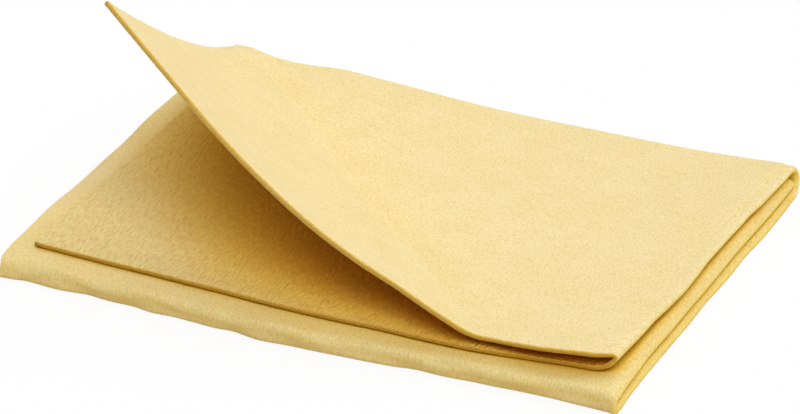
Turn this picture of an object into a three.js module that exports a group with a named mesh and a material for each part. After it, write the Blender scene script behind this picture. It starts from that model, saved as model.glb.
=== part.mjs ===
import * as THREE from 'three';

// A synthetic chamois cloth, folded, with one corner of its top leaf lifted.
//
// The cloth is one sheet with raw cut edges. It is doubled along its right-hand edge, and the doubled sheet
// is folded in three like a letter. The bottom panel lies on the table, the middle panel comes back over it
// from the front turn, and the top panel comes over both from the back turn. That makes six leaves, counted
// here from 0 at the bottom to 5 at the top. Each region of the sheet between two creases is one solid.
//
// Millimetres. X runs to the right, Y to the back and Z up. The origin is under the middle of the pad.

// The sheet
const thickness = 1.3;
const leafGap = 0.3;
const creaseGap = 0.3;

// The folded pad, over its widest leaves
const padWidth = 177;
const padDepth = 136;
const leftTaper = 5;

// Right-hand edges of the middle and top panels, measured in from the bottom panel's
const middleInset = 1;
const topInsetFront = 3.5;
const topInsetBack = 2;

// Raw edges of the top panel: the left one measured in from the panels below it, and the front one from the
// front turn
const topLeftInsetFront = 6;
const topLeftInsetBack = 8;
const topSetback = 9;

// The top panel's upper leaf gapes over the lower one at the front
const gapeAtFront = 2.5;

// Bend lines of the lifted corner. They fan out from a point behind the pad's back left corner. A reach is
// measured along the front edge from the lifted corner: first a tight group, where the leaf leaves the pad,
// and then an easy group.
const fanBeyondLeft = 71.5;
const fanBehindBack = 82;
const tightBends = 3;
const tightTurn = THREE.MathUtils.degToRad(10);
const tightReach = 129.5;
const tightSpacing = 6;
const easyBends = 3;
const easyTurn = THREE.MathUtils.degToRad(7);
const easyReach = 87.5;
const easySpacing = 19.5;

// Steps round a half turn
const turnSteps = 14;
const foldSteps = 8;

const napColour = 0xf6dc98;
const creaseColour = 0xecca7c;
const clothRoughness = 0.95;

// Heights in the stack

const leafPitch = thickness + leafGap;
const leafCount = 6;
const stackHeight = leafCount * thickness + (leafCount - 1) * leafGap;
const foldRadius = thickness + leafGap / 2;

function leafBottom(leaf) {
  return leaf * leafPitch;
}

// A turn joins a lower leaf to an upper one round a line along X
function turnBetween(lower, upper) {
  const bottom = leafBottom(lower);
  const top = leafBottom(upper) + thickness;
  const outer = (top - bottom) / 2;
  return { height: (bottom + top) / 2, outer, inner: outer - thickness };
}

const frontTurn = { outer: turnBetween(0, 3), inner: turnBetween(1, 2) };
const backTurn = { outer: turnBetween(0, 5), inner: turnBetween(1, 4) };
const frontTurnY = -padDepth / 2 + frontTurn.outer.outer;
const backTurnY = padDepth / 2 - backTurn.outer.outer;

// Edges of the panels, as places along X at a depth y

const lerp = THREE.MathUtils.lerp;
const topFrontY = -padDepth / 2 + topSetback;
const topReach = backTurnY - topFrontY;
const gapeTilt = Math.asin((gapeAtFront - leafGap) / topReach);

function shareToFront(y) {
  return (backTurnY - y) / topReach;
}

function leftEdge(y) {
  return -padWidth / 2 + leftTaper * (padDepth / 2 - y) / padDepth;
}

function topLeftEdge(y) {
  return leftEdge(y) + lerp(topLeftInsetBack, topLeftInsetFront, shareToFront(y));
}

function bottomRightEdge() {
  return padWidth / 2;
}

function middleRightEdge() {
  return padWidth / 2 - middleInset;
}

function topRightEdge(y) {
  return padWidth / 2 - lerp(topInsetBack, topInsetFront, shareToFront(y));
}

function tightFoldRadius() {
  return foldRadius;
}

// The top fold opens from the tight radius at the back to the gape at the front
function topFoldRadius(y) {
  return lerp(foldRadius, thickness + gapeAtFront / 2, shareToFront(y));
}

const panels = {
  bottom: {
    front: frontTurnY + creaseGap,
    back: backTurnY - creaseGap,
    left: leftEdge,
    right: bottomRightEdge,
    radius: tightFoldRadius,
  },
  middle: {
    front: frontTurnY + creaseGap,
    back: backTurnY,
    left: leftEdge,
    right: middleRightEdge,
    radius: tightFoldRadius,
  },
  top: {
    front: topFrontY,
    back: backTurnY - creaseGap,
    left: topLeftEdge,
    right: topRightEdge,
    radius: topFoldRadius,
  },
};

// Where a panel's leaves stop, just short of its fold
function leafRight(panel, y) {
  return panel.right(y) - panel.radius(y) - creaseGap;
}

function panelOutline(panel) {
  return [
    new THREE.Vector2(panel.left(panel.front), panel.front),
    new THREE.Vector2(leafRight(panel, panel.front), panel.front),
    new THREE.Vector2(leafRight(panel, panel.back), panel.back),
    new THREE.Vector2(panel.left(panel.back), panel.back),
  ];
}

// Solids

// A flat region of the sheet, with its mid-plane at z = 0
function plate(outline) {
  const shape = new THREE.Shape(outline);
  const geometry = new THREE.ExtrudeGeometry(shape, { depth: thickness, bevelEnabled: false });
  return geometry.translate(0, 0, -thickness / 2);
}

// The part of an outline on the far side of a line, away from it by a clearance
function clip(outline, origin, normal, clearance) {
  const height = (point) => point.clone().sub(origin).dot(normal) - clearance;
  const kept = [];
  outline.forEach((point, i) => {
    const next = outline[(i + 1) % outline.length];
    const here = height(point);
    const there = height(next);
    if (here >= 0) {
      kept.push(point.clone());
    }
    if (here >= 0 !== there >= 0) {
      kept.push(point.clone().lerp(next, here / (here - there)));
    }
  });
  return kept;
}

// Half a ring, open to the left, as a closed outline
function halfRing(inner, outer, steps) {
  const arc = (radius, share) => {
    const angle = Math.PI * (share - 0.5);
    return new THREE.Vector2(radius * Math.cos(angle), radius * Math.sin(angle));
  };
  const outline = [];
  for (let i = 0; i <= steps; i += 1) {
    outline.push(arc(outer, i / steps));
  }
  for (let i = steps; i >= 0; i -= 1) {
    outline.push(arc(inner, i / steps));
  }
  return outline;
}

// A closed body through sections of equal point count. flatten gives a section point's place in the section's
// own plane.
function loft(sections, flatten) {
  const count = sections[0].length;
  const last = sections.length - 1;
  const positions = sections.flat().flatMap((point) => [point.x, point.y, point.z]);
  const faces = [];
  for (let s = 0; s < last; s += 1) {
    for (let i = 0; i < count; i += 1) {
      const a = s * count + i;
      const b = s * count + (i + 1) % count;
      faces.push([a, b, b + count], [a, b + count, a + count]);
    }
  }
  const caps = (s) => {
    const contour = sections[s].map(flatten);
    const triangles = THREE.ShapeUtils.triangulateShape(contour, []);
    return THREE.ShapeUtils.isClockWise(contour) ? triangles.map(([a, b, c]) => [c, b, a]) : triangles;
  };
  caps(0).forEach(([a, b, c]) => faces.push([c, b, a]));
  caps(last).forEach((face) => faces.push(face.map((i) => i + last * count)));

  const vertex = (i) => new THREE.Vector3().fromArray(positions, 3 * i);
  const volume = faces.reduce((sum, [a, b, c]) => sum + vertex(a).dot(vertex(b).cross(vertex(c))), 0);
  const outward = volume > 0 ? faces : faces.map(([a, b, c]) => [a, c, b]);
  const geometry = new THREE.BufferGeometry();
  geometry.setAttribute('position', new THREE.Float32BufferAttribute(positions, 3));
  geometry.setIndex(outward.flat());
  geometry.computeVertexNormals();
  return geometry;
}

// The rolled fold along a panel's right-hand edge
function panelFold(panel, lowerLeaf) {
  const sections = [panel.front, panel.back].map((y) => {
    const outer = panel.radius(y);
    const axisX = panel.right(y) - outer;
    const axisZ = leafBottom(lowerLeaf) + outer;
    return halfRing(outer - thickness, outer, foldSteps).map(
      (point) => new THREE.Vector3(axisX + point.x, y, axisZ + point.y),
    );
  });
  return loft(sections, (point) => new THREE.Vector2(point.x, point.z));
}

// One leaf going round a turn. side is -1 at the front and 1 at the back. The share runs from 0 at the lower
// leaf to 1 at the upper one, and each station gives the place along X and the rise at a share.
function turnLeaf(y, turn, side, stations) {
  const ring = halfRing(turn.inner, turn.outer, turnSteps);
  const sections = stations.map((station) => ring.map((point) => {
    const angle = Math.atan2(point.y, point.x);
    const share = angle / Math.PI + 0.5;
    const rise = station.rise * Math.max(0, Math.sin(angle));
    return new THREE.Vector3(station.x(share), y + side * point.x, turn.height + point.y + rise);
  }));
  return loft(sections, (point) => new THREE.Vector2(point.y, point.z));
}

// The rolled right-hand fold going round a turn with both leaves
function turnFold(y, height, radius, side, lowerPanel, upperPanel) {
  const ring = halfRing(leafGap / 2, foldRadius, foldSteps);
  const sections = [];
  for (let i = 0; i <= turnSteps; i += 1) {
    const share = i / turnSteps;
    const angle = Math.PI * (share - 0.5);
    const axisX = lerp(lowerPanel.right(y), upperPanel.right(y), share) - foldRadius;
    sections.push(ring.map((point) => {
      const reach = radius + point.y;
      return new THREE.Vector3(
        axisX + point.x,
        y + side * reach * Math.cos(angle),
        height + reach * Math.sin(angle),
      );
    }));
  }
  const flatten = (point) => new THREE.Vector2(point.x, Math.hypot(point.y - y, point.z - height));
  return loft(sections, flatten);
}

// Assembly

function addPiece(parent, name, geometry, colour) {
  const material = new THREE.MeshStandardMaterial({ color: colour, roughness: clothRoughness, metalness: 0 });
  const mesh = new THREE.Mesh(geometry, material);
  mesh.name = name;
  parent.add(mesh);
  return mesh;
}

const cloth = new THREE.Group();
cloth.name = 'chamois_cloth';

// Leaves that lie flat
const flatLeaves = [
  ['bottom_lower_leaf', panels.bottom, 0],
  ['bottom_upper_leaf', panels.bottom, 1],
  ['middle_lower_leaf', panels.middle, 2],
  ['middle_upper_leaf', panels.middle, 3],
  ['top_lower_leaf', panels.top, 4],
];
flatLeaves.forEach(([name, panel, leaf]) => {
  const mesh = addPiece(cloth, name, plate(panelOutline(panel)), napColour);
  mesh.position.z = leafBottom(leaf) + thickness / 2;
});

// Right-hand folds of the panels
addPiece(cloth, 'bottom_fold', panelFold(panels.bottom, 0), creaseColour);
addPiece(cloth, 'middle_fold', panelFold(panels.middle, 2), creaseColour);
addPiece(cloth, 'top_fold', panelFold(panels.top, 4), creaseColour);

// Front turn, from the bottom panel to the middle panel
function turnRight(y, lowerPanel, upperPanel) {
  return (share) => lerp(lowerPanel.right(y), upperPanel.right(y), share) - foldRadius - creaseGap;
}

const frontStations = [
  { x: () => leftEdge(frontTurnY), rise: 0 },
  { x: turnRight(frontTurnY, panels.bottom, panels.middle), rise: 0 },
];
['outer', 'inner'].forEach((layer) => {
  const geometry = turnLeaf(frontTurnY, frontTurn[layer], -1, frontStations);
  addPiece(cloth, `front_turn_${layer}`, geometry, creaseColour);
});
const frontFold = turnFold(frontTurnY, frontTurn.outer.height, leafPitch, -1, panels.bottom, panels.middle);
addPiece(cloth, 'front_turn_fold', frontFold, creaseColour);

// The upper leaf of the top panel, tilted about the back turn
const upperLeaf = new THREE.Group();
upperLeaf.position.set(0, backTurnY, backTurn.outer.height);
upperLeaf.rotation.x = -gapeTilt;
cloth.add(upperLeaf);

const leafPlane = new THREE.Group();
leafPlane.position.set(0, -backTurnY, stackHeight - thickness / 2 - backTurn.outer.height);
upperLeaf.add(leafPlane);

// A bend line runs from its point on the front edge along to the fan point
const fanPoint = new THREE.Vector2(-padWidth / 2 - fanBeyondLeft, padDepth / 2 + fanBehindBack);
const corner = new THREE.Vector2(topLeftEdge(topFrontY), topFrontY);

function bendLine(reach, turn) {
  const point = new THREE.Vector2(corner.x + reach, corner.y);
  const along = fanPoint.clone().sub(point).normalize();
  const towardsCorner = new THREE.Vector2(-along.y, along.x);
  return { point, turn, along, towardsCorner, fromCorner: towardsCorner.clone().negate() };
}

const bends = [];
for (let i = 0; i < tightBends; i += 1) {
  bends.push(bendLine(tightReach - i * tightSpacing, tightTurn));
}
for (let i = 0; i < easyBends; i += 1) {
  bends.push(bendLine(easyReach - i * easySpacing, easyTurn));
}

// Each bend carries the next, so the corner lifts line by line
const leafPoint = new THREE.Vector2(0, 0);
const hinges = bends.map((bend, i) => {
  const hinge = new THREE.Group();
  const from = i > 0 ? bends[i - 1].point : leafPoint;
  hinge.name = `corner_bend_${i + 1}`;
  hinge.position.set(bend.point.x - from.x, bend.point.y - from.y, 0);
  hinge.quaternion.setFromAxisAngle(new THREE.Vector3(bend.along.x, bend.along.y, 0), bend.turn);
  return hinge;
});
hinges.forEach((hinge, i) => (i > 0 ? hinges[i - 1] : leafPlane).add(hinge));
cloth.updateMatrixWorld(true);

// Where a place on the leaf's upper face comes to lie once the corner is bent
function bentPlace(place) {
  const passed = bends.filter((bend) => place.clone().sub(bend.point).dot(bend.towardsCorner) > 0).length;
  const carrier = passed > 0 ? hinges[passed - 1] : leafPlane;
  const from = passed > 0 ? bends[passed - 1].point : leafPoint;
  const local = new THREE.Vector3(place.x - from.x, place.y - from.y, thickness / 2);
  return local.applyMatrix4(carrier.matrixWorld);
}

// The back left end of the leaf rises with the corner, and draws in towards the back turn as it does
const backLeftEnd = new THREE.Vector2(topLeftEdge(backTurnY), backTurnY);
const backLeftBent = bentPlace(backLeftEnd);
const puffRise = Math.max(0, backLeftBent.z - stackHeight);
const cornerRelief = creaseGap + Math.max(0, backLeftBent.y - backTurnY);

const upperOutline = panelOutline(panels.top);
const lyingOutline = clip(upperOutline, bends[0].point, bends[0].fromCorner, creaseGap / 2);
addPiece(leafPlane, 'top_upper_leaf', plate(lyingOutline), napColour);

const liftedOutline = clip(upperOutline, backLeftEnd, new THREE.Vector2(0, -1), cornerRelief);
bends.forEach((bend, i) => {
  const nearSide = clip(liftedOutline, bend.point, bend.towardsCorner, creaseGap / 2);
  const next = bends[i + 1];
  const strip = next ? clip(nearSide, next.point, next.fromCorner, creaseGap / 2) : nearSide;
  const local = strip.map((place) => place.clone().sub(bend.point));
  addPiece(hinges[i], `corner_strip_${i + 1}`, plate(local), napColour);
});

// Back turn, from the bottom panel to the top panel. Its outer leaf puffs up at the left end, from the place
// where the first bend line meets it.
const backLeft = (share) => lerp(leftEdge(backTurnY), topLeftEdge(backTurnY), share);
const backRight = turnRight(backTurnY, panels.bottom, panels.top);
const firstBend = bends[0];
const firstReach = (backTurnY - firstBend.point.y) / firstBend.along.y;
const firstMeets = firstBend.point.x + firstReach * firstBend.along.x;
const puffLength = Math.max(firstMeets - backLeftEnd.x, thickness);
const backStations = {
  outer: [
    { x: backLeft, rise: puffRise },
    { x: (share) => backLeft(share) + puffLength, rise: 0 },
    { x: backRight, rise: 0 },
  ],
  inner: [
    { x: backLeft, rise: 0 },
    { x: backRight, rise: 0 },
  ],
};
['outer', 'inner'].forEach((layer) => {
  const geometry = turnLeaf(backTurnY, backTurn[layer], 1, backStations[layer]);
  addPiece(cloth, `back_turn_${layer}`, geometry, creaseColour);
});
const backFold = turnFold(backTurnY, backTurn.outer.height, 2 * leafPitch, 1, panels.bottom, panels.top);
addPiece(cloth, 'back_turn_fold', backFold, creaseColour);

export default cloth;
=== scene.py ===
# %% [markdown]
# # A folded chamois cloth
# A synthetic chamois is a soft yellow cloth for drying glass and paint. It isn't woven or knitted: short fibres
# are matted together and bound, so it has a felted nap on both faces and can be cut anywhere without fraying.
# This one is a single sheet. It is doubled along its right-hand edge and then folded in three, like a letter, and
# the free corner of its top leaf is lifted. The lesson builds that sheet as a surface with thickness.

# %% Load the frame
import math
import bpy
import numpy as np
from mathutils import Matrix, Vector


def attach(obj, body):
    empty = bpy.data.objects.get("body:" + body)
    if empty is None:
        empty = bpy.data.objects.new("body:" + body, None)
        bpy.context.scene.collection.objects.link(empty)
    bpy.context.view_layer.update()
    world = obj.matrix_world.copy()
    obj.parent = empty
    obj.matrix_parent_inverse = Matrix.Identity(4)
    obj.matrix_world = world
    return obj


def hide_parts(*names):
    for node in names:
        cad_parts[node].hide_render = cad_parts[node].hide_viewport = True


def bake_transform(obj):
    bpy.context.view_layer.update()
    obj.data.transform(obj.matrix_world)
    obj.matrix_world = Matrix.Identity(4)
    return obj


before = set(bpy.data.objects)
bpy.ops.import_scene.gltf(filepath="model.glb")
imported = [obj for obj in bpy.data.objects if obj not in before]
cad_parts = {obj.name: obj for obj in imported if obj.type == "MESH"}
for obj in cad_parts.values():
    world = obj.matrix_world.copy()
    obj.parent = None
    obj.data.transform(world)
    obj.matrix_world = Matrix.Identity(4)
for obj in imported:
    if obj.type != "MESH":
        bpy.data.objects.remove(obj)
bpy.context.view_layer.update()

MM = 0.001

# %% [markdown]
# ## Camera
# The camera comes first, because everything is judged through it. It stands in front of the pad and a little to
# the right, and looks down on it. A long lens from about a metre keeps the far edges nearly parallel to the near
# ones. The aim point sits just above the middle of the pad, so no lens shift is needed.

# %% Place the camera
azimuth = math.radians(24.74)
elevation = math.radians(26.89)
camera_distance = 988 * MM
towards_camera = Vector((
    math.sin(azimuth) * math.cos(elevation),
    -math.cos(azimuth) * math.cos(elevation),
    math.sin(elevation),
))
camera_right = Vector((math.cos(azimuth), math.sin(azimuth), 0))
camera_up = towards_camera.cross(camera_right)
aim_right, aim_up = 0.32, 7.2
aim = camera_right * aim_right * MM + camera_up * aim_up * MM

camera = bpy.data.objects.new("camera", bpy.data.cameras.new("camera"))
camera.data.sensor_width = 36
camera.data.lens = 167.9
camera.data.clip_start = 0.05
turn_camera = Matrix((camera_right, camera_up, towards_camera)).transposed().to_4x4()
camera.matrix_world = Matrix.Translation(aim + towards_camera * camera_distance) @ turn_camera
bpy.context.collection.objects.link(camera)
bpy.context.scene.camera = camera
print("camera at", [round(v, 4) for v in camera.location])

# %% [markdown]
# ## Light and floor
# A studio table shot has a few big soft lamps and white all round. The white all round is the world here, and each
# lamp is a sun with a wide disc. One stands behind the table and lights the outside of the lifted corner. The
# strongest, in front, shows the folds, and a weak one at the back left looks in under the corner. A lamp's strength
# is given as the share of light it lays on a level surface. With the room they add up to about 1, so a colour comes
# out about as it is written. The floor is white paper: the camera sees it nearly as bright as the background, and
# part of the cloth's soft shadow stays on it.

# %% Set up the light
scene = bpy.context.scene
scene.view_settings.view_transform = "Standard"

world = bpy.data.worlds.new("white_room")
scene.world = world
world.use_nodes = True
room = world.node_tree
room.nodes.clear()


def add_node(tree, kind, **settings):
    node = tree.nodes.new(kind)
    for name, value in settings.items():
        setattr(node, name, value)
    return node


def seen_directly(tree):
    """1 for what the camera, a mirror or a glass shows, and 0 for light on its way to a matt surface."""
    path = add_node(tree, "ShaderNodeLightPath")
    either = add_node(tree, "ShaderNodeMath", operation="MAXIMUM")
    tree.links.new(path.outputs["Is Camera Ray"], either.inputs[0])
    tree.links.new(path.outputs["Is Glossy Ray"], either.inputs[1])
    any_of = add_node(tree, "ShaderNodeMath", operation="MAXIMUM")
    tree.links.new(either.outputs[0], any_of.inputs[0])
    tree.links.new(path.outputs["Is Transmission Ray"], any_of.inputs[1])
    return any_of.outputs[0]


room_light = 0.31
lit = add_node(room, "ShaderNodeBackground")
lit.inputs["Color"].default_value = (1.0, 0.985, 0.96, 1)
lit.inputs["Strength"].default_value = room_light
backdrop = add_node(room, "ShaderNodeBackground")
backdrop.inputs["Color"].default_value = (1, 1, 1, 1)
backdrop.inputs["Strength"].default_value = 1.0
which = add_node(room, "ShaderNodeMixShader")
room.links.new(seen_directly(room), which.inputs["Fac"])
room.links.new(lit.outputs[0], which.inputs[1])
room.links.new(backdrop.outputs[0], which.inputs[2])
room.links.new(which.outputs[0], add_node(room, "ShaderNodeOutputWorld").inputs["Surface"])


def soft_lamp(name, comes_from, level_share, disc):
    lamp = bpy.data.objects.new(name, bpy.data.lights.new(name, "SUN"))
    towards = Vector(comes_from).normalized()
    lamp.data.energy = level_share * math.pi / towards.z
    lamp.data.angle = math.radians(disc)
    lamp.rotation_euler = towards.to_track_quat("Z", "Y").to_euler()
    bpy.context.collection.objects.link(lamp)
    print(name, "has strength", round(lamp.data.energy, 2))


soft_lamp("back_lamp", (0.37, 0.58, 0.72), 0.185, 50)
soft_lamp("front_lamp", (0.40, -0.47, 0.79), 0.355, 40)
soft_lamp("left_lamp", (-0.35, 0.55, 0.76), 0.16, 40)

# %% Lay the floor
floor_half = 3.0
floor_drop = 0.1
paper_glow = 0.9

floor_mesh = bpy.data.meshes.new("floor")
floor_corners = [(-1, -1), (1, -1), (1, 1), (-1, 1)]
floor_mesh.from_pydata([(floor_half * x, floor_half * y, 0) for x, y in floor_corners], [], [(0, 1, 2, 3)])
floor = bpy.data.objects.new("floor", floor_mesh)
floor.location.z = -floor_drop * MM
bpy.context.collection.objects.link(floor)

paper = bpy.data.materials.new("white_paper")
paper.use_nodes = True
tree = paper.node_tree
tree.nodes.clear()
matt = add_node(tree, "ShaderNodeBsdfDiffuse")
matt.inputs["Color"].default_value = (0.96, 0.96, 0.96, 1)
glow = add_node(tree, "ShaderNodeEmission")
glow.inputs["Color"].default_value = (1, 1, 1, 1)
glow_share = add_node(tree, "ShaderNodeMath", operation="MULTIPLY")
glow_share.inputs[1].default_value = paper_glow
tree.links.new(seen_directly(tree), glow_share.inputs[0])
mixed = add_node(tree, "ShaderNodeMixShader")
tree.links.new(glow_share.outputs[0], mixed.inputs["Fac"])
tree.links.new(matt.outputs[0], mixed.inputs[1])
tree.links.new(glow.outputs[0], mixed.inputs[2])
tree.links.new(mixed.outputs[0], add_node(tree, "ShaderNodeOutputMaterial").inputs["Surface"])
floor_mesh.materials.append(paper)
print("the floor reaches", floor_half, "m each way")

# %% [markdown]
# ## The path of the sheet
# Seen from the right, the doubled sheet runs like a flat letter S. The top panel comes in from its raw front edge,
# goes round the back turn, lies along the table as the bottom panel, goes round the front turn and ends as the
# middle panel inside the back turn. One number, t, counts along that path: 0 to 1 is the top panel, 1 to 2 the back
# turn, 2 to 3 the bottom panel, 3 to 4 the front turn and 4 to 5 the middle panel. Describing the path as a
# formula beats modelling flat boxes, because the surface and its normals stay smooth through every turn.

# %% Sizes of the folded pad, in millimetres
cloth_thickness = 1.3
half_thickness = cloth_thickness / 2
leaf_gap = 0.3
leaf_pitch = cloth_thickness + leaf_gap
half_pitch = leaf_pitch / 2
stack_height = 6 * cloth_thickness + 5 * leaf_gap
back_turn_y, back_turn_z, back_turn_radius = 63.35, 4.65, 3.2
front_turn_y, front_turn_z, front_turn_radius = -64.95, 3.05, 1.6
top_front_y = -59.0
top_leaf_z = back_turn_z + back_turn_radius + half_pitch
middle_back_y = 63.6


def smooth(share):
    share = np.clip(share, 0, 1)
    return share * share * (3 - 2 * share)


def hump(x, centre, width):
    return np.exp(-(((x - centre) / width) ** 2))


def through(stations, x):
    """A soft line through (place, value) stations."""
    places, values = (np.array(column, float) for column in zip(*stations))
    slopes = np.gradient(values, places)
    i = np.clip(np.searchsorted(places, x) - 1, 0, len(places) - 2)
    span = places[i + 1] - places[i]
    s = np.clip((x - places[i]) / span, 0, 1)
    ease = s * s * (3 - 2 * s)
    lean = span * (slopes[i] * s * (1 - s) ** 2 - slopes[i + 1] * s * s * (1 - s))
    return values[i] + (values[i + 1] - values[i]) * ease + lean


def path_turn(t):
    """How the path faces at t: a quarter turn up on the top panel, down on the bottom one."""
    return np.pi / 2 - np.pi * np.clip(t - 1, 0, 1) - np.pi * np.clip(t - 3, 0, 1)


def path_y(t, front):
    y = front + (back_turn_y - front) * np.minimum(t, 1)
    y = y + (front_turn_y - back_turn_y) * np.clip(t - 2, 0, 1)
    return y + (middle_back_y - front_turn_y) * np.maximum(t - 4, 0)


print("turn at t 0, 1.5, 2.5, 3.5, 5:", np.degrees(path_turn(np.array([0, 1.5, 2.5, 3.5, 5]))))

# %% [markdown]
# ## Edges of the panels
# Nobody folds a cloth dead straight. The right-hand folds wander by up to a few millimetres, the pad widens a little
# to the back left, and the front turn bows forward in the middle. Each edge gets a soft line through a few stations,
# which reads like a list of measurements and is easy to change. The pressed folds also lean: each creases nearer to
# one of its leaves than to the other.

# %% Where the panels end
front_bow = [(-92, 2.4), (-78, 2.6), (-66, 2.3), (-54, 1.9), (-36, 0.8), (-20, 0.4), (-12, 0.0), (4, -0.2),
             (18, 0.9), (31, 1.4), (40, 2.0), (50, 2.1), (62, 2.2), (72, 3.0), (84, 2.8), (92, 2.8)]
front_crest = [(-92, 3.4), (-83, 3.4), (-76, 2.2), (-69, 3.4), (-62, 4.0), (-55, 2.6), (-46, 3.9), (-38, 4.5),
               (-34, 3.9), (-28, 2.6), (-21, 3.4), (-16, 3.0), (-10, 3.5), (-4, 4.1), (3, 4.5), (9, 2.8), (15, 2.7),
               (23, 3.0), (29, 3.7), (36, 3.2), (40, 2.3), (46, 2.7), (57, 2.9), (71, 3.4), (82, 3.9), (92, 3.9)]
pad_left_line = [(-72, -83.4), (-66, -83.4), (-56, -84.2), (-42, -85.4), (-25, -85.9), (-2, -86.3), (20, -87.4),
                 (42, -88.6), (64, -89.2), (70, -89.2)]
lower_left_inset = [(-64, 6.4), (-20, 7.2), (64, 8.4)]
upper_left_line = [(-66, -80.0), (-62, -79.8), (-50, -78.6), (-30, -78.6), (-15, -79.2), (10, -79.4), (25, -79.5),
                   (45, -80.4), (63.35, -80.8), (64, -80.8)]
lower_front_line = [(-92, -55.9), (-78, -56.7), (-45, -58.5), (-13, -60.3), (2, -61.0), (10, -60.8), (18, -60.5),
                    (27, -60.5), (33, -60.8), (45, -60.6), (53, -59.9), (61, -58.9), (71, -57.5), (80, -56.6),
                    (86, -55.2)]
upper_front_line = [(-92, -62.2), (-80, -62.0), (-50, -61.4), (-40, -61.1), (-28, -60.0), (-19, -59.6),
                    (-10, -60.2), (3, -60.9), (14, -60.8), (25, -60.0), (36, -61.3), (42, -61.2), (47, -60.0),
                    (52, -59.6), (58, -59.9), (65, -59.9), (71, -59.3), (76, -58.4), (81, -57.3), (86, -55.2)]
top_right_line = [(-62, 84.0), (-52, 84.2), (-38, 84.6), (-31, 84.7), (-23, 85.4), (-14, 86.0), (-9, 86.0),
                  (-2, 85.8), (5, 85.5), (13, 85.65), (20, 85.8), (27, 86.15), (34, 86.3), (41, 86.9), (49, 87.1),
                  (58, 87.5), (64, 87.6)]
middle_right_line = [(-66, 87.8), (-60, 87.4), (-52, 87.2), (-45, 86.9), (-38, 86.9), (-31, 87.1), (-16, 87.2),
                     (-2, 87.4), (20, 87.4), (34, 87.75), (41, 87.95), (56, 88.0), (64, 88.0)]
bottom_right_line = [(-66, 88.3), (-60, 87.9), (-52, 87.75), (-31, 87.85), (-16, 88.1), (-2, 87.95), (5, 88.25),
                     (13, 88.45), (27, 88.4), (34, 88.8), (49, 89.0), (56, 88.9), (64, 88.8)]


def share_to_front(y):
    return (back_turn_y - y) / (back_turn_y - top_front_y)


def lower_left(y):
    return through(pad_left_line, y) + through(lower_left_inset, y)


def left_edge(t, y):
    """Raw left edges: the top panel's lies in from the panels under it, and goes out to theirs round the back."""
    turn = np.clip(t - 1, 0, 1)
    over = lower_left(np.minimum(y, back_turn_y))
    under = through(pad_left_line, y)
    ragged = 0.35 * np.sin(t * 9.0) * np.sin(y / 7.3 + t)
    return over + (under - over) * turn + ragged * smooth(t - 2)


def right_edge(t, y):
    top, bottom, middle = (through(line, y) for line in (top_right_line, bottom_right_line, middle_right_line))
    edge = top + (bottom - top) * np.clip(t - 1, 0, 1)
    return edge + (middle - edge) * smooth(t - 3)


print("left edge of the top panel's lower leaf:", lower_left(np.array([top_front_y, back_turn_y])).round(2))

# %% How the right-hand folds close
front_gape = 1.1
nose_y, nose_length, nose_height = -62, 17, 0.85


def fold_gape(y):
    """How far the top panel's leaves stand apart along their fold, beyond the gap of two pressed leaves."""
    return front_gape * share_to_front(y)


def near_nose(y):
    return hump(np.minimum(y, back_turn_y), nose_y, nose_length)


def nose_swell(t, y):
    """The top fold swells into a small teardrop at its open front end."""
    return np.where(t < 1, nose_height * near_nose(y), 0.0)


def fold_radius(t, y):
    """The folds are tight, but the top one opens to the front with its gaping leaf."""
    return np.where(t < 1, half_pitch + fold_gape(y) / 2, half_pitch) + nose_swell(t, y)


def fold_reach(t, y):
    """How far a fold's nose stands out from where its leaves start to close. It is least on the front turn."""
    reach = 2.8 + 0.4 * np.clip(t - 1, 0, 1) - 0.4 * np.clip(t - 3, 0, 1)
    pressed_corner = 1.4 * hump(t, 3.4, 0.35)
    return reach - pressed_corner + 2.9 * nose_swell(t, y)


def fold_lean(t, y):
    """Where a pressed fold creases: above 0 near the outer leaf, and below 0, on the middle panel, near the inner."""
    top = 0.8 - 0.35 * near_nose(y)
    below = 0.8 - 0.3 * np.clip(t - 1, 0, 1) + 0.4 * smooth((t - 2.9) / 0.2) - 1.7 * smooth((t - 3.6) / 0.35)
    return np.where(t < 1, top, below)


def fold_middle(t, y):
    return right_edge(t, y) - fold_reach(t, y) - half_thickness


print("radius of the top fold, front and back:", fold_radius(0.0, np.array([top_front_y, back_turn_y])).round(2))

# %% [markdown]
# ## The lifted corner
# Cloth hardly stretches, so a lifted corner is a piece of a cone: it bends along straight lines that fan out from
# one point. The fan point lies behind the pad's back left corner. The leaf turns up sharply where it leaves the
# pad and then goes on curling gently to the tip. Turning each place about every fan line it has passed keeps all
# lengths on the cloth right, which pulling vertices up would not.

# %% Bend the leaf on a cone
fan_point = np.array([-160.0, 150.0])
fan_line_y = top_front_y
tight_from, tight_to, tight_turn = 52.45, 38.65, 30.0
easy_from, easy_to, easy_turn = 30.8, -51.1, 21.0
lifted_gape = 2.2
leaf_tilt = math.asin(lifted_gape / (back_turn_y - top_front_y))


def fan_line(x, y):
    """Where the fan line through a place crosses the front edge."""
    return fan_point[0] + (x - fan_point[0]) * (fan_point[1] - fan_line_y) / (fan_point[1] - y)


def on_fan_line(line, y):
    """The place along X where a fan line crosses a depth y."""
    return fan_point[0] + (line - fan_point[0]) * (fan_point[1] - y) / (fan_point[1] - fan_line_y)


def turned_by(line):
    tight = tight_turn * smooth((tight_from - line) / (tight_from - tight_to))
    easy = easy_turn * smooth((easy_from - line) / (easy_from - easy_to))
    return np.radians(tight + easy)


def turn_about(direction, angle):
    x, y, z = np.array(direction) / np.linalg.norm(direction)
    cross = np.array([[0, -z, y], [z, 0, -x], [-y, x, 0]])
    return np.eye(3) + math.sin(angle) * cross + (1 - math.cos(angle)) * cross @ cross


fan_lines = np.linspace(60, -130, 761)


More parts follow.
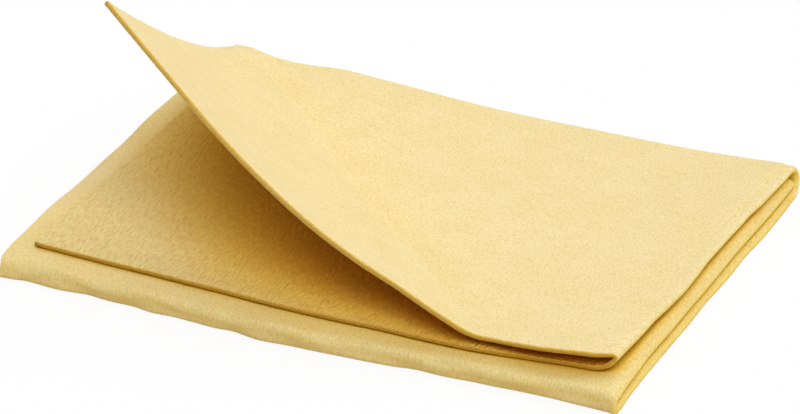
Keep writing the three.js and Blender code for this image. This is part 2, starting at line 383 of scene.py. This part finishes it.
def carried_turns():
    turns = turned_by(fan_lines)
    carried = [np.eye(3)]
    for i in range(1, len(fan_lines)):
        middle = (fan_lines[i] + fan_lines[i - 1]) / 2
        direction = (fan_point[0] - middle, fan_point[1] - fan_line_y, 0)
        carried.append(carried[-1] @ turn_about(direction, turns[i] - turns[i - 1]))
    return np.array(carried)


carried = carried_turns()


def cone(x, y):
    """Places of the flat leaf once its corner is lifted, with the flat leaf at height 0."""
    line = np.clip(fan_line(x, y), fan_lines[-1], fan_lines[0])
    along = (fan_lines[0] - line) / (fan_lines[0] - fan_lines[1])
    i = np.clip(along.astype(int), 0, len(fan_lines) - 2)
    share = (along - i)[..., None, None]
    turn = carried[i] * (1 - share) + carried[i + 1] * share
    arm = np.stack([x - fan_point[0], y - fan_point[1], np.zeros_like(x)], axis=-1)
    place = np.einsum("...ij,...j->...i", turn, arm)
    return place + np.array([fan_point[0], fan_point[1], 0])


tip = cone(np.array([-80.2]), np.array([-62.0]))[0]
print("the tip stands", round(float(tip[2]), 1), "mm above the leaf")

# %% [markdown]
# The leaf also gapes over the one below it, rises along the back where the lifted corner pulls on it, and swells
# beside the teardrop nose. These are small, so they are added on top of the cone as heights.

# %% The top panel's upper leaf
back_rise_line = [(-92, 1.2), (-80.8, 1.5), (-78.5, 2.6), (-76.3, 3.4), (-72.4, 3.0), (-68, 2.3), (-61, 2.1),
                  (-54, 2.5), (-47, 3.0), (-41, 2.6), (-29, 1.7), (-16, 0.6), (-4, -0.2), (8, -0.6), (30, -0.9),
                  (60, -1.0), (74, -0.3), (84, 0.4), (92, 0.4)]
sag_from, sag_over = 38, 12
rise_from, rise_over = -18, 80
nose_shoulder = 38


def leaf_gape(x, y):
    """The upper leaf gapes more where the lifted corner pulls it up than where it sags towards the fold."""
    sag = (lifted_gape * share_to_front(y) - fold_gape(y)) * smooth((fan_line(x, y) - sag_from) / sag_over)
    return lifted_gape * share_to_front(y) - sag


def back_rise(x, y):
    return through(back_rise_line, x) * smooth((y - rise_from) / rise_over)


def upper_leaf(x, y):
    bent = cone(x, y)
    lift = bent[..., 2]
    top = np.zeros_like(y)
    beside_nose = 2 * nose_swell(top, y) * smooth(1 - (fold_middle(top, y) - x) / nose_shoulder)
    place = bent.copy()
    place[..., 1] = bent[..., 1] + lift * math.sin(leaf_tilt)
    place[..., 2] = top_leaf_z + leaf_gape(x, y) + lift * math.cos(leaf_tilt) + back_rise(x, y) + beside_nose
    return place


print("leaf at the back left corner:", upper_leaf(np.array([-80.8]), np.array([back_turn_y])).round(2))

# %% [markdown]
# ## The whole doubled sheet
# A second number, c, counts across the sheet: -2 to -1 is the inner leaf from its raw edge to the right-hand fold,
# -1 to 1 goes round that fold, and 1 to 2 and on is the outer leaf back to its raw edge. With c and t, one
# function gives every place on the sheet. The front turn is pressed, so its round section is squared off a little,
# and the hand that pressed it left it uneven.

# %% Every place on the sheet
guide_line = 57.0
rim_reach = 0.3
lower_corner_y, fold_front_y, nose_front_x = -57.2, -58.3, 86
crest_low, crest_span, bottom_squareness, square_radius = 2.2, 2.3, 6.0, 2.4
press_from_y, press_depth, press_low, press_crest = -60.5, 6.0, 0.20, 0.14
bow_from_y, bow_depth = 20, 80
follow_end, follow_length = 1.85, 0.85


def leaf_front(line):
    """Where a fan line meets the upper leaf's raw front edge."""
    line = np.asarray(line, float)
    x = line
    for _ in range(12):
        x = on_fan_line(line, through(upper_front_line, x))
    return np.stack([x, through(upper_front_line, x)], axis=-1)


guide_front = leaf_front(guide_line)
fold_front_x = float(fold_middle(0.0, fold_front_y))


def front_edge(c):
    """The raw front edge of the top panel: the lower leaf's line, round the nose, the upper leaf's line."""
    lower_x = fold_front_x + (lower_left(lower_corner_y) - fold_front_x) * (-1 - c)
    upper_x = fold_front_x + (guide_front[0] - fold_front_x) * (c - 1)
    nose_x = fold_front_x + (nose_front_x - fold_front_x) * np.cos(np.clip(c, -1, 1) * np.pi / 2)
    lower = through(lower_front_line, np.where(c < -1, lower_x, nose_x))
    upper = through(upper_front_line, np.where(c > 1, upper_x, nose_x))
    return lower + (upper - lower) * smooth((c + 1) / 2)


def sheet_place(c, t):
    c, t = np.broadcast_arrays(np.asarray(c, float), np.asarray(t, float))
    y = path_y(t, front_edge(c))
    radius = fold_radius(t, y)
    fold_x = fold_middle(t, y)
    left = left_edge(t, y)
    guide = np.where(t < 1, on_fan_line(guide_line, y), on_fan_line(guide_line, back_turn_y))
    angle = np.clip(c, -1, 1) * np.pi / 2
    lower_x = fold_x + (left - fold_x) * (-1 - c)
    nose_x = fold_x + fold_reach(t, y) * np.cos(angle)
    upper_x = fold_x + (guide - fold_x) * (c - 1)
    rim_x = guide + (left - guide) * (c - 2) / rim_reach
    x = np.select([c < -1, c < 1, c < 2], [lower_x, nose_x, upper_x], rim_x)
    off_middle = (radius - half_pitch) + radius * (np.sin(angle) + fold_lean(t, y) * np.cos(angle) ** 2)

    turn = path_turn(t)
    at_back = t < 2.5
    turn_radius = np.where(at_back, back_turn_radius, front_turn_radius) + off_middle
    centre_z = np.where(at_back, back_turn_z, front_turn_z)
    crest = np.clip((through(front_crest, x) - crest_low) / crest_span, 0, 1.1)
    squareness = np.where(np.sin(turn) > 0, 1.3 + 3.6 * crest, bottom_squareness)
    across, up = np.abs(np.cos(turn)), np.abs(np.sin(turn))
    squared = (across**squareness + up**squareness) ** (-1 / squareness)
    pressed = np.where(at_back, 1.0, 1 + (squared - 1) * np.clip(turn_radius / square_radius, 0, 1.2))
    place = np.stack([
        x,
        y + turn_radius * np.cos(turn) * pressed,
        centre_z + turn_radius * np.sin(turn) * pressed,
    ], axis=-1)

    # the front turn is pressed down, bows, and stays above the table
    flattened = (press_low - press_crest * crest) * smooth((press_from_y - place[..., 1]) / press_depth)
    place[..., 2] *= np.where(t > 2.5, 1 - flattened, 1)
    bow = through(front_bow, x) * smooth((bow_from_y - place[..., 1]) / bow_depth)
    place[..., 1] += np.where(t > 2, bow, 0)
    place[..., 2] = np.where(t > 1.5, np.maximum(place[..., 2], half_thickness), place[..., 2])

    # the outer leaf of the top panel is the lifted one, and the back turn follows its rise
    on_top = (c > 1) & (t <= 1)
    place = np.where(on_top[..., None], upper_leaf(x, y), place)
    on_turn = (c > 1) & (t > 1) & (t < 2)
    back_y = np.full_like(x, back_turn_y)
    raised = upper_leaf(x, back_y) - np.stack([x, back_y, np.full_like(x, top_leaf_z)], axis=-1)
    follow = smooth((follow_end - t) / follow_length)[..., None]
    return np.where(on_turn[..., None], place + raised * follow, place)


print("middle of the front turn:", sheet_place(1.5, 3.5).round(2))

# %% [markdown]
# ## How the cloth settles
# Last comes the lie of the land: a soft unevenness over the whole pad that is nothing at the table and grows with
# height, the crumpled front turn, and its foot, which is tucked in or left out along the table. It moves places by
# about a millimetre at most, but it breaks up the shading and the outline as real cloth does.

# %% Settle every place
foot_tuck = [(-92, -0.8), (-83, -0.8), (-80, -0.7), (-77, 0.1), (-74, 0.25), (-70, 0.0), (-65, 0.05), (-61, 0.5),
             (-58, 0.9), (-55, 0.5), (-50, 0.2), (-44, 0.6), (-39, 0.1), (-33, 0.75), (-27, 0.5), (-20, 0.3),
             (-15, 1.2), (-12, 0.7), (-9, 0.15), (0, 0.1), (12, 0.15), (22, 0.1), (29, 0.25), (34, 0.8), (39, 0.5),
             (42, 0.4), (49, 0.65), (56, 0.5), (62, 0.75), (69, 0.6), (76, 0.25), (83, 0.0), (92, -0.5)]
crumple_from_y, crumple_depth, crumple_top, crumple_fade = -56, 9, 8.2, 2.0
foot_from_y, foot_depth, foot_top, foot_fade = -54, 10, 4.6, 3.6


def settle(place):
    x, y, z = place[..., 0], place[..., 1], place[..., 2]
    up = np.clip(z / stack_height, 0, 1)
    front = smooth((crumple_from_y - y) / crumple_depth) * smooth((crumple_top - z) / crumple_fade)
    foot = smooth((foot_from_y - y) / foot_depth) * smooth((foot_top - z) / foot_fade)
    swell = (0.10 * np.sin(x / 11.0 + y / 23.0) + 0.09 * np.sin(x / 19.0 - y / 9.0 + 1.3)
             + 0.06 * np.sin(y / 6.1 + x / 31.0))
    crumple_z = 0.12 * np.sin(x / 6.1 + 0.8) + 0.14 * np.sin(x / 3.3 + 2.0) + 0.08 * np.sin(x / 9.7)
    crumple_y = 0.16 * np.sin(x / 4.4 + z * 0.9) + 0.16 * np.sin(x / 7.9 + 1.1 - z * 0.7)
    moved = place.copy()
    moved[..., 2] = z + up * swell * (1 - 0.6 * front) + up * front * crumple_z
    moved[..., 1] = y + front * crumple_y + foot * through(foot_tuck, x)
    return moved


def sheet_surface(c, t):
    return settle(sheet_place(c, t))


def leaf_surface(x, y):
    return settle(upper_leaf(x, y))


def facing(surface, first, second, step_first, step_second):
    """Unit normals from two small steps on a surface."""
    along = surface(first + step_first, second) - surface(first - step_first, second)
    across = surface(first, second + step_second) - surface(first, second - step_second)
    normal = np.cross(across, along)
    return normal / np.linalg.norm(normal, axis=-1, keepdims=True)


print("settling moves the front turn by", (sheet_surface(1.5, 3.5) - sheet_place(1.5, 3.5)).round(2))

# %% [markdown]
# ## From surface to cloth
# Each piece is a grid of places on the sheet. The grid is pushed out to both faces by half the thickness, and
# closed round its rim. A raw cut gets two extra rows of vertices, pushed out a touch, so that it is softly
# rounded and a little uneven. Where one piece of the sheet meets the next there is no cut, only a plain wall that
# no one sees. The normals come from the smooth surface, so the joins don't show in the shading. Each vertex also
# keeps what the material will ask: where it lies on the spread-out cloth, which face it is on, and how much deeper
# gold its fold is given.

# %% Cells, rim and area of a grid
def grid_quads(cells):
    """The cells that are cloth, each as a ring of four places."""
    rows, columns = cells.shape
    spot = np.arange((rows + 1) * (columns + 1)).reshape(rows + 1, columns + 1)
    return [
        (spot[i, j], spot[i + 1, j], spot[i + 1, j + 1], spot[i, j + 1])
        for i in range(rows) for j in range(columns) if cells[i, j]
    ]


def open_rim(quads):
    """Each place on the rim with the next one: the sides that belong to one cell only."""
    sides = dict.fromkeys(side for quad in quads for side in zip(quad, quad[1:] + quad[:1]))
    return {a: b for a, b in sides if (b, a) not in sides}


def cloth_area(middle, quads):
    corners = np.array(quads)
    diagonal_one = middle[corners[:, 2]] - middle[corners[:, 0]]
    diagonal_two = middle[corners[:, 3]] - middle[corners[:, 1]]
    return np.linalg.norm(np.cross(diagonal_one, diagonal_two), axis=1).sum() / 2 * MM * MM


print("a grid of one cell has a rim of", len(open_rim(grid_quads(np.ones((1, 1), bool)))), "places")

# %% Make a closed piece of cloth
cut_round = 0.24
cut_bulge = 0.20
cut_lean = 0.45
face_spacing = 40.0
ladder = ("up", "high", "low", "down")


def unit(way):
    return way / np.linalg.norm(way)


def cut_roughness(u, v):
    return cut_bulge + 0.05 * math.sin(u * 2.1 + v * 1.7) + 0.04 * math.sin(u * 5.3 - v * 4.1)


def cloth_piece(name, place, normal, flat, cells, is_cut, squeeze=None, creased=None, on_paper=None):
    rows, columns = place.shape[:2]
    middle, up_way, flat = place.reshape(-1, 3), normal.reshape(-1, 3), flat.reshape(-1, 2)
    squeeze = np.ones(rows * columns) if squeeze is None else squeeze.ravel()
    creased = np.zeros(rows * columns) if creased is None else creased.ravel()
    on_paper = np.zeros(rows * columns) if on_paper is None else on_paper.ravel()
    quads = grid_quads(cells)
    rim = open_rim(quads)

    def cut_between(a, b):
        return is_cut(a // columns, a % columns, b // columns, b % columns)

    out_way = {}
    for a, b in rim.items():
        if cut_between(a, b):
            outward = unit(np.cross(middle[b] - middle[a], up_way[a]))
            for v in (a, b):
                out_way[v] = out_way.get(v, 0) + outward
    number, vertices, normals, flats, sides, creases, papers = {}, [], [], [], [], [], []

    def vertex(key, at, way, side):
        v = key[0]
        number[key] = len(vertices)
        vertices.append(at * MM)
        normals.append(way)
        flats.append((flat[v][0], flat[v][1], face_spacing * side))
        sides.append(side)
        creases.append(creased[v])
        papers.append(on_paper[v])

    for v in sorted({v for quad in quads for v in quad}):
        vertex((v, "up"), middle[v] + up_way[v] * half_thickness, up_way[v], 1.0)
        vertex((v, "down"), middle[v] - up_way[v] * half_thickness * squeeze[v], -up_way[v], 0.0)
    for v, outward in out_way.items():
        outward = unit(outward)
        bulge = outward * cut_roughness(*flat[v])
        for key, way, side in (("high", 1, 1.0), ("low", -squeeze[v], 0.0)):
            at = middle[v] + way * up_way[v] * (half_thickness - cut_round) + bulge
            vertex((v, key), at, unit(outward + cut_lean * way * up_way[v]), side)

    faces, corner_ways, corner_cuts = [], [], []

    def face(keys, way=None, cut=0.0):
        ids = [number[key] for key in keys]
        faces.append(ids)
        corner_ways.extend(normals[i] if way is None else way for i in ids)
        corner_cuts.extend([cut] * len(ids))

    for quad in quads:
        face([(v, "up") for v in quad])
        face([(v, "down") for v in reversed(quad)])
    before = {b: a for a, b in rim.items()}
    for a, b in rim.items():
        cut, cut_before = cut_between(a, b), cut_between(before[a], a)
        if cut:
            for one, two in zip(ladder, ladder[1:]):
                face([(b, one), (a, one), (a, two), (b, two)], cut=1.0)
        else:
            wall = unit(np.cross(middle[b] - middle[a], up_way[a]))
            face([(b, "up"), (a, "up"), (a, "down"), (b, "down")], wall)
        if cut_before and not cut:
            face([(a, key) for key in ladder], cut=1.0)
        if cut and not cut_before:
            face([(a, key) for key in ("up", "down", "low", "high")], cut=1.0)

    mesh = bpy.data.meshes.new(name)
    mesh.from_pydata([tuple(v) for v in vertices], [], faces)
    mesh.polygons.foreach_set("use_smooth", [True] * len(faces))
    mesh.normals_split_custom_set([tuple(way) for way in corner_ways])
    flat_layer = mesh.attributes.new("flat", "FLOAT_VECTOR", "POINT")
    flat_layer.data.foreach_set("vector", np.array(flats, np.float32).ravel())
    for label, on, values in (("nap_side", "POINT", sides), ("crease", "POINT", creases), ("paper", "POINT", papers),
                              ("cut", "CORNER", corner_cuts)):
        mesh.attributes.new(label, "FLOAT", on).data.foreach_set("value", np.array(values, np.float32))
    piece = bpy.data.objects.new(name, mesh)
    bpy.context.collection.objects.link(piece)
    area = cloth_area(middle, quads)
    print(name, len(vertices), "vertices,", len(faces), "faces,", round(area * 1e4, 1), "square centimetres")
    return piece, area


# %% [markdown]
# ## Cutting the sheet where it moves
# Blender shows one sheet, but it moves at its folds, so it is split into pieces that meet without a gap. The base
# is everything that stays on the table. The top is the panel that opens about the back turn. Six strips make up
# the lifted corner, each split half way between two bend lines.

# %% Rows and columns
leaf_columns = 96
fold_columns = 22
rim_steps = 6
panel_rows = 60
back_turn_rows = 16
front_turn_rows = 36
join_row = 14

leaf_share = np.linspace(0, 1, leaf_columns + 1) ** 1.4
inner_columns = -1 - leaf_share[::-1]
fold_steps = np.linspace(-1, 1, fold_columns + 1)[1:-1]
outer_columns = 1 + leaf_share
rim_columns = 2 + rim_reach * np.linspace(0, 1, rim_steps + 1)[1:]
all_columns = np.concatenate([inner_columns, fold_steps, outer_columns, rim_columns])
guide_column = len(inner_columns) + len(fold_steps) + len(outer_columns) - 1

top_rows = np.linspace(0, 1, panel_rows + 1)
back_rows = np.linspace(1, 2, back_turn_rows + 1)
base_rows = np.concatenate([
    back_rows[join_row:],
    2 + np.linspace(0, 1, panel_rows)[1:],
    3 + np.linspace(0, 1, front_turn_rows + 1)[1:],
    4 + np.linspace(0, 1, panel_rows)[1:],
])
opening_rows = np.concatenate([top_rows, back_rows[1:join_row + 1]])
print(len(all_columns), "columns,", len(base_rows), "rows in the base,", len(opening_rows), "in the top")

# %% What each place brings along
flat_fold_x, fold_run = 84.0, 4.6
back_turn_run, bottom_run, front_turn_run, middle_run = 12.6, 128.3, 8.6, 127.85


def flat_place(c, t):
    """Where a place on the sheet lies once the cloth is spread out, for the nap's pattern."""
    x = sheet_place(c, t)[..., 0]
    round_fold = flat_fold_x + fold_run / 2 * (1 - c)
    u = np.where(c > 1, x, np.where(c < -1, 2 * flat_fold_x + fold_run - x, round_fold))
    beyond = (back_turn_y + back_turn_run * np.clip(t - 1, 0, 1) + bottom_run * np.clip(t - 2, 0, 1)
              + front_turn_run * np.clip(t - 3, 0, 1) + middle_run * np.clip(t - 4, 0, 1))
    v = np.where(t <= 1, path_y(t, front_edge(c)), beyond)
    return np.stack([u, v], axis=-1)


def fold_squeeze(c, t):
    """Inside a tight fold the cloth is squeezed thinner, so that it doesn't run into itself."""
    y = path_y(t, front_edge(c))
    crease_radius = fold_radius(t, y) ** 2 / fold_reach(t, y)
    tight = 1 - np.minimum(1, 0.9 * crease_radius / half_thickness)
    return 1 - tight * np.cos(np.clip(c, -1, 1) * np.pi / 2) ** 2


def sheet_grid(rows, columns):
    c, t = np.meshgrid(columns, rows)
    return sheet_surface(c, t), facing(sheet_surface, c, t, 2e-3, 1e-3), flat_place(c, t), fold_squeeze(c, t)


def fold_crease(rows, columns):
    """How much deeper gold the colour is given: all the way on the lower folds' noses, half on the front turn."""
    c, t = np.meshgrid(columns, rows)
    along_nose = np.where(t > 2, np.cos(np.clip(c, -1, 1) * np.pi / 2) ** 2, 0.0)
    in_front = 0.45 * smooth((t - 3.2) / 0.4) * smooth((4.3 - t) / 0.2) * (c > 0)
    return np.maximum(along_nose, in_front)


def paper_below(normal, rows, columns):
    """How much of its view the outer leaf of a turn has on the white paper it stands on."""
    c, t = np.meshgrid(columns, rows)
    on_turn = smooth((t - 2.9) / 0.15) + smooth((t - 1.2) / 0.3) * smooth((2.1 - t) / 0.1)
    return np.clip((1 - normal[..., 2]) / 2, 0, 1) * on_turn * smooth((c + 0.2) / 0.8)


print("the bottom's middle lies flat at", flat_place(np.array([1.5]), np.array([2.5])).round(1))

# %% The base, from the back turn to the middle panel
place, normal, flat, squeeze = sheet_grid(base_rows, all_columns)
cells = np.ones((len(base_rows) - 1, len(all_columns) - 1), bool)
base, base_area = cloth_piece(
    "cloth_base", place, normal, flat, cells, lambda i, j, k, l: not (i == 0 and k == 0), squeeze,
    fold_crease(base_rows, all_columns), paper_below(normal, base_rows, all_columns),
)

# %% The top panel with the back turn
place, normal, flat, squeeze = sheet_grid(opening_rows, all_columns)
cells = np.ones((len(opening_rows) - 1, len(all_columns) - 1), bool)
cells[:panel_rows, guide_column:] = False
last_column = len(all_columns) - 1


def top_is_cut(i, j, k, l):
    along_front = i == 0 and k == 0
    along_inner_left = j == 0 and l == 0
    along_outer_left = j == last_column and l == last_column
    return along_front or along_inner_left or along_outer_left


top, top_area = cloth_piece(
    "cloth_top", place, normal, flat, cells, top_is_cut, squeeze,
    fold_crease(opening_rows, all_columns), paper_below(normal, opening_rows, all_columns),
)

# %% [markdown]
# A strip of the lifted corner runs along the fan lines from the raw front edge to the far end of the leaf. That
# end is the back turn at first and then the raw left edge. The last strip is a triangle, so its grid is folded
# round the corner to keep its cells even.

# %% The strips of the lifted corner
def far_end(line):
    """Where a fan line leaves the upper leaf: at the back turn or across the raw left edge."""
    line = np.asarray(line, float)
    y = np.zeros_like(line)
    for _ in range(40):
        left = through(upper_left_line, y)
        y = fan_point[1] - (left - fan_point[0]) * (fan_point[1] - fan_line_y) / (line - fan_point[0])
        y = np.clip(y, -90, back_turn_y)
    return np.stack([on_fan_line(line, y), y], axis=-1)


corner_line = float(fan_line(through(upper_left_line, back_turn_y), back_turn_y))
tip_y = -62.0
for _ in range(30):
    tip_x = float(through(upper_left_line, tip_y))
    tip_y = float(through(upper_front_line, tip_x))
strip_seams = [guide_line, 49.2, 42.2, 24.67, -0.08, -19.58]
line_step, fewest_steps = 1.1, 8
print("back left corner on fan line", round(corner_line, 2), "tip", round(tip_x, 2), round(tip_y, 2))


def strip_lines(first, last):
    count = max(fewest_steps, int(round((first - last) / line_step)))
    lines = list(np.linspace(first, last, count + 1))
    if last < corner_line < first:
        nearest = min(range(1, count), key=lambda i: abs(lines[i] - corner_line))
        lines[nearest] = corner_line
    return np.array(lines)


def leaf_grid(spread):
    x, y = spread[..., 0], spread[..., 1]
    return leaf_surface(x, y), facing(leaf_surface, x, y, 0.05, 0.05), spread


strips = []
for first, last in zip(strip_seams, strip_seams[1:]):
    lines = strip_lines(first, last)
    near, far = leaf_front(lines), far_end(lines)
    spread = near[None] + (far - near)[None] * top_rows[:, None, None]
    place, normal, flat = leaf_grid(spread)
    normal = normal * np.sign(normal[..., 2:].mean())
    cells = np.ones((panel_rows, len(lines) - 1), bool)
    if last < corner_line < first:
        raw_from = int(np.argmin(np.abs(lines - corner_line)))
    else:
        raw_from = 0 if first <= corner_line else len(lines)

    def strip_is_cut(i, j, k, l):
        front = i == 0 and k == 0
        far_raw = i == panel_rows and k == panel_rows and min(j, l) >= raw_from
        return front or far_raw

    strips.append(cloth_piece(f"corner_{len(strips) + 1}_cloth", place, normal, flat, cells, strip_is_cut))

# %% The last strip, folded round the tip
half = panel_rows // 2
start = leaf_front(np.array(strip_seams[-1]))
end = far_end(np.array(strip_seams[-1]))
centre = (start + end) / 2
corner_tip = np.array([tip_x, tip_y])
a, b = np.meshgrid(np.linspace(0, 1, half + 1), np.linspace(0, 1, half + 1))
a, b = a[..., None], b[..., None]
spread = (1 - a) * (1 - b) * start + a * (1 - b) * corner_tip + a * b * end + (1 - a) * b * centre
x, y = spread[..., 0], spread[..., 1]
on_front = np.stack([x, through(upper_front_line, x)], axis=-1)
on_left = np.stack([through(upper_left_line, y), y], axis=-1)
spread = np.where(b == 0, on_front, np.where(a == 1, on_left, spread))
place, normal, flat = leaf_grid(spread)
normal = normal * np.sign(normal[..., 2:].mean())
cells = np.ones((half, half), bool)
strips.append(cloth_piece(
    f"corner_{len(strips) + 1}_cloth", place, normal, flat, cells,
    lambda i, j, k, l: (i == 0 and k == 0) or (j == half and l == half),
))

# %% [markdown]
# ## Nap, grooves and cut edges
# The two faces differ. The outer face is brushed: a fine, short nap with a faint mottle and a few darker flecks,
# all drawn a little along the cloth's length. The inner face is pressed into fine grooves, longer than wide. A
# cut edge shows the bound fibres inside, which are a deeper gold. All of it hangs on the cloth's spread-out
# coordinates, in millimetres, so the pattern moves with the cloth. A photographed texture would be quicker, but it
# would stop at its own sharpness and carry its own light.

# %% Start the chamois material
chamois = bpy.data.materials.new("chamois")
chamois.use_nodes = True
tree = chamois.node_tree
tree.nodes.clear()


def feed(socket, value):
    """Set a socket to a number or a colour, or wire another node's output to it."""
    if isinstance(value, (int, float, tuple)):
        socket.default_value = value
    else:
        tree.links.new(value, socket)


def attribute(name, output="Fac"):
    return add_node(tree, "ShaderNodeAttribute", attribute_name=name).outputs[output]


spread_out = attribute("flat", "Vector")
outer_face = attribute("nap_side")
cut_edge = attribute("cut")
crease = attribute("crease")
paper_view = attribute("paper")
print("the material reads", len(tree.nodes), "layers of the cloth")

# %% Helpers for patterns and mixtures
def stretched(scale):
    node = add_node(tree, "ShaderNodeMapping")
    node.inputs["Scale"].default_value = scale
    feed(node.inputs["Vector"], spread_out)
    return node.outputs["Vector"]


def noise(vector, scale, detail, roughness):
    node = add_node(tree, "ShaderNodeTexNoise")
    for name, value in (("Vector", vector), ("Scale", scale), ("Detail", detail), ("Roughness", roughness)):
        feed(node.inputs[name], value)
    return node.outputs["Fac"]


def band(value, low, high, to_low=0.0, to_high=1.0):
    """Carry a value softly from the range low to high over to the range to_low to to_high."""
    node = add_node(tree, "ShaderNodeMapRange", interpolation_type="SMOOTHSTEP")
    feed(node.inputs["Value"], value)
    for name, limit in (("From Min", low), ("From Max", high), ("To Min", to_low), ("To Max", to_high)):
        feed(node.inputs[name], limit)
    return node.outputs["Result"]


def maths(operation, one, two):
    node = add_node(tree, "ShaderNodeMath", operation=operation)
    feed(node.inputs[0], one)
    feed(node.inputs[1], two)
    return node.outputs[0]


def mix_value(share, one, two):
    node = add_node(tree, "ShaderNodeMix", data_type="FLOAT")
    for i, value in ((0, share), (2, one), (3, two)):
        feed(node.inputs[i], value)
    return node.outputs[0]


def mix_colour(share, one, two, blend="MIX"):
    node = add_node(tree, "ShaderNodeMix", data_type="RGBA", blend_type=blend)
    for i, value in ((0, share), (6, one), (7, two)):
        feed(node.inputs[i], value)
    return node.outputs[2]


def tinted(share, base, tint):
    """A share of the base colour is multiplied by a tint."""
    return mix_colour(share, base, mix_colour(1.0, base, tint, "MULTIPLY"))


def colour(red, green, blue):
    """A colour as a paint chart gives it, 0 to 255, for Blender's linear sockets."""
    return tuple(
        (v / 255 / 12.92) if v / 255 <= 0.04045 else ((v / 255 + 0.055) / 1.055) ** 2.4 for v in (red, green, blue)
    ) + (1.0,)


print("the nap's pale gold is", [round(v, 3) for v in colour(254, 237, 188)], "in linear light")

# %% The brushed outer face
fibre = noise(stretched((2.3, 1.5, 1)), 1.0, 4, 0.62)
strokes = noise(stretched((1.8, 0.5, 1)), 1.0, 2, 0.5)
mottle = noise(stretched((1, 1, 1)), 0.11, 3, 0.6)
fleck = noise(stretched((1.3, 0.6, 1)), 0.9, 1, 0.4)
nap = mix_colour(band(fibre, 0.3, 0.7), colour(238, 215, 154), colour(254, 237, 188))
nap = mix_colour(band(strokes, 0.34, 0.5, 0.4, 0), nap, colour(230, 202, 136))
nap = tinted(band(mottle, 0.35, 0.65), nap, colour(253, 251, 244))
nap = mix_colour(band(fleck, 0.66, 0.78, 0, 0.25), nap, colour(212, 178, 108))
nap_height = maths("ADD", maths("MULTIPLY", fibre, 0.5), maths("MULTIPLY", strokes, 0.5))
print("the outer face takes", len(tree.nodes), "nodes")

# %% The grooved inner face and the cut edges
grooves = noise(stretched((1.7, 0.4, 1)), 1.0, 2, 0.5)
grooved = mix_colour(band(grooves, 0.34, 0.58), colour(241, 209, 136), colour(255, 237, 167))
grooved = mix_colour(band(fibre, 0.3, 0.7, 0, 0.4), grooved, colour(254, 223, 150))
groove_height = maths("ADD", maths("MULTIPLY", grooves, 5.5), maths("MULTIPLY", fibre, 0.5))

cut_fibre = noise(stretched((2.2, 2.2, 0.2)), 1.0, 3, 0.6)
cut_gold = mix_colour(band(cut_fibre, 0.3, 0.7), colour(228, 178, 60), colour(250, 212, 112))
open_colour = mix_colour(cut_edge, mix_colour(outer_face, grooved, nap), cut_gold)
print("both faces and the cut take", len(tree.nodes), "nodes")

# %% [markdown]
# Yellow cloth colours its own light. Where leaves shelter each other, light has gone from fibre to fibre, so it
# loses its blue first and then its strength. That shade is painted into the colour: an ambient occlusion node
# measures how open each place is, and the less open it is, the warmer and then the darker the painted shade. It
# takes the white paper under a turn for shelter, though paper sends light back, so what a turn sees of the paper is
# added again. The fold noses and the front turn get a deeper gold, and the turns get a painted shade that darkens
# them towards the table.

# %% Painted shade in sheltered places and by the table, and the fold tint
fold_gold_tint = (0.98, 0.95, 0.68, 1)
# painted shade by the table: the turns darken and brown where they look down at the paper
painted_table_shade_tint = (0.78, 0.65, 0.26, 1)
# painted shade colours: sheltered places are first warmed, then darkened
painted_shade_warm_inside, painted_shade_warm_outside = (1.0, 0.80, 0.23, 1), (1.0, 0.88, 0.33, 1)
painted_shade_deep_inside, painted_shade_deep_outside = (0.66, 0.42, 0.015, 1), (0.66, 0.53, 0.05, 1)
shelter_reach = 36

openness = add_node(tree, "ShaderNodeAmbientOcclusion", samples=8)
openness.inputs["Distance"].default_value = shelter_reach * MM
open_share = maths("ADD", openness.outputs["AO"], paper_view)
# how much painted shade each place gets, from how sheltered it is
painted_warm_shade_share = band(open_share, 0.42, 1.04, 1, 0)
painted_deep_shade_share = mix_value(outer_face, band(open_share, 0.05, 0.5, 1, 0), band(open_share, 0.12, 0.58, 1, 0))

cloth_colour = tinted(crease, open_colour, fold_gold_tint)
# paint that table shade into the turns
cloth_colour = tinted(paper_view, cloth_colour, painted_table_shade_tint)
# paint the shade of sheltered places into the colour
cloth_colour = tinted(painted_warm_shade_share, cloth_colour, mix_colour(outer_face, painted_shade_warm_inside, painted_shade_warm_outside))
cloth_colour = tinted(painted_deep_shade_share, cloth_colour, mix_colour(outer_face, painted_shade_deep_inside, painted_shade_deep_outside))
print("with its tints the cloth takes", len(tree.nodes), "nodes")

# %% Put the material together
bump = add_node(tree, "ShaderNodeBump")
bump.inputs["Strength"].default_value = 0.7
bump.inputs["Distance"].default_value = 0.35 * MM
feed(bump.inputs["Height"], mix_value(outer_face, groove_height, nap_height))

shader = add_node(tree, "ShaderNodeBsdfPrincipled")
feed(shader.inputs["Base Color"], cloth_colour)
feed(shader.inputs["Normal"], bump.outputs["Normal"])
feed(shader.inputs["Roughness"], band(fibre, 0.2, 0.8, 0.9, 1.0))
feed(shader.inputs["Sheen Weight"], band(open_share, 0.3, 0.9, 0, 0.2))
shader.inputs["Specular IOR Level"].default_value = 0.12
shader.inputs["Sheen Roughness"].default_value = 0.5
shader.inputs["Sheen Tint"].default_value = (1.0, 0.9, 0.6, 1)
tree.links.new(shader.outputs[0], add_node(tree, "ShaderNodeOutputMaterial").inputs["Surface"])
print("the whole material has", len(tree.nodes), "nodes")

# %% [markdown]
# ## Riding on the frame
# Every piece takes the place of its plain solids, which are hidden. The base rides on the pad's body and moves
# with it. The top and the strips keep their places in the world.

# %% Join the base to the pad and hide the plain solids
def finish_piece(piece, nodes):
    piece.data.materials.append(chamois)
    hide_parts(*nodes)


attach(base, "pad")
finish_piece(
    base,
    ["bottom_lower_leaf", "bottom_upper_leaf", "middle_lower_leaf", "middle_upper_leaf", "bottom_fold", "middle_fold",
     "front_turn_outer", "front_turn_inner", "front_turn_fold"],
)
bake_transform(top)
finish_piece(
    top,
    ["top_lower_leaf", "top_upper_leaf", "top_fold", "back_turn_outer", "back_turn_inner", "back_turn_fold"],
)

for k, (strip, area) in enumerate(strips):
    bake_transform(strip)
    finish_piece(strip, [f"corner_strip_{k + 1}"])
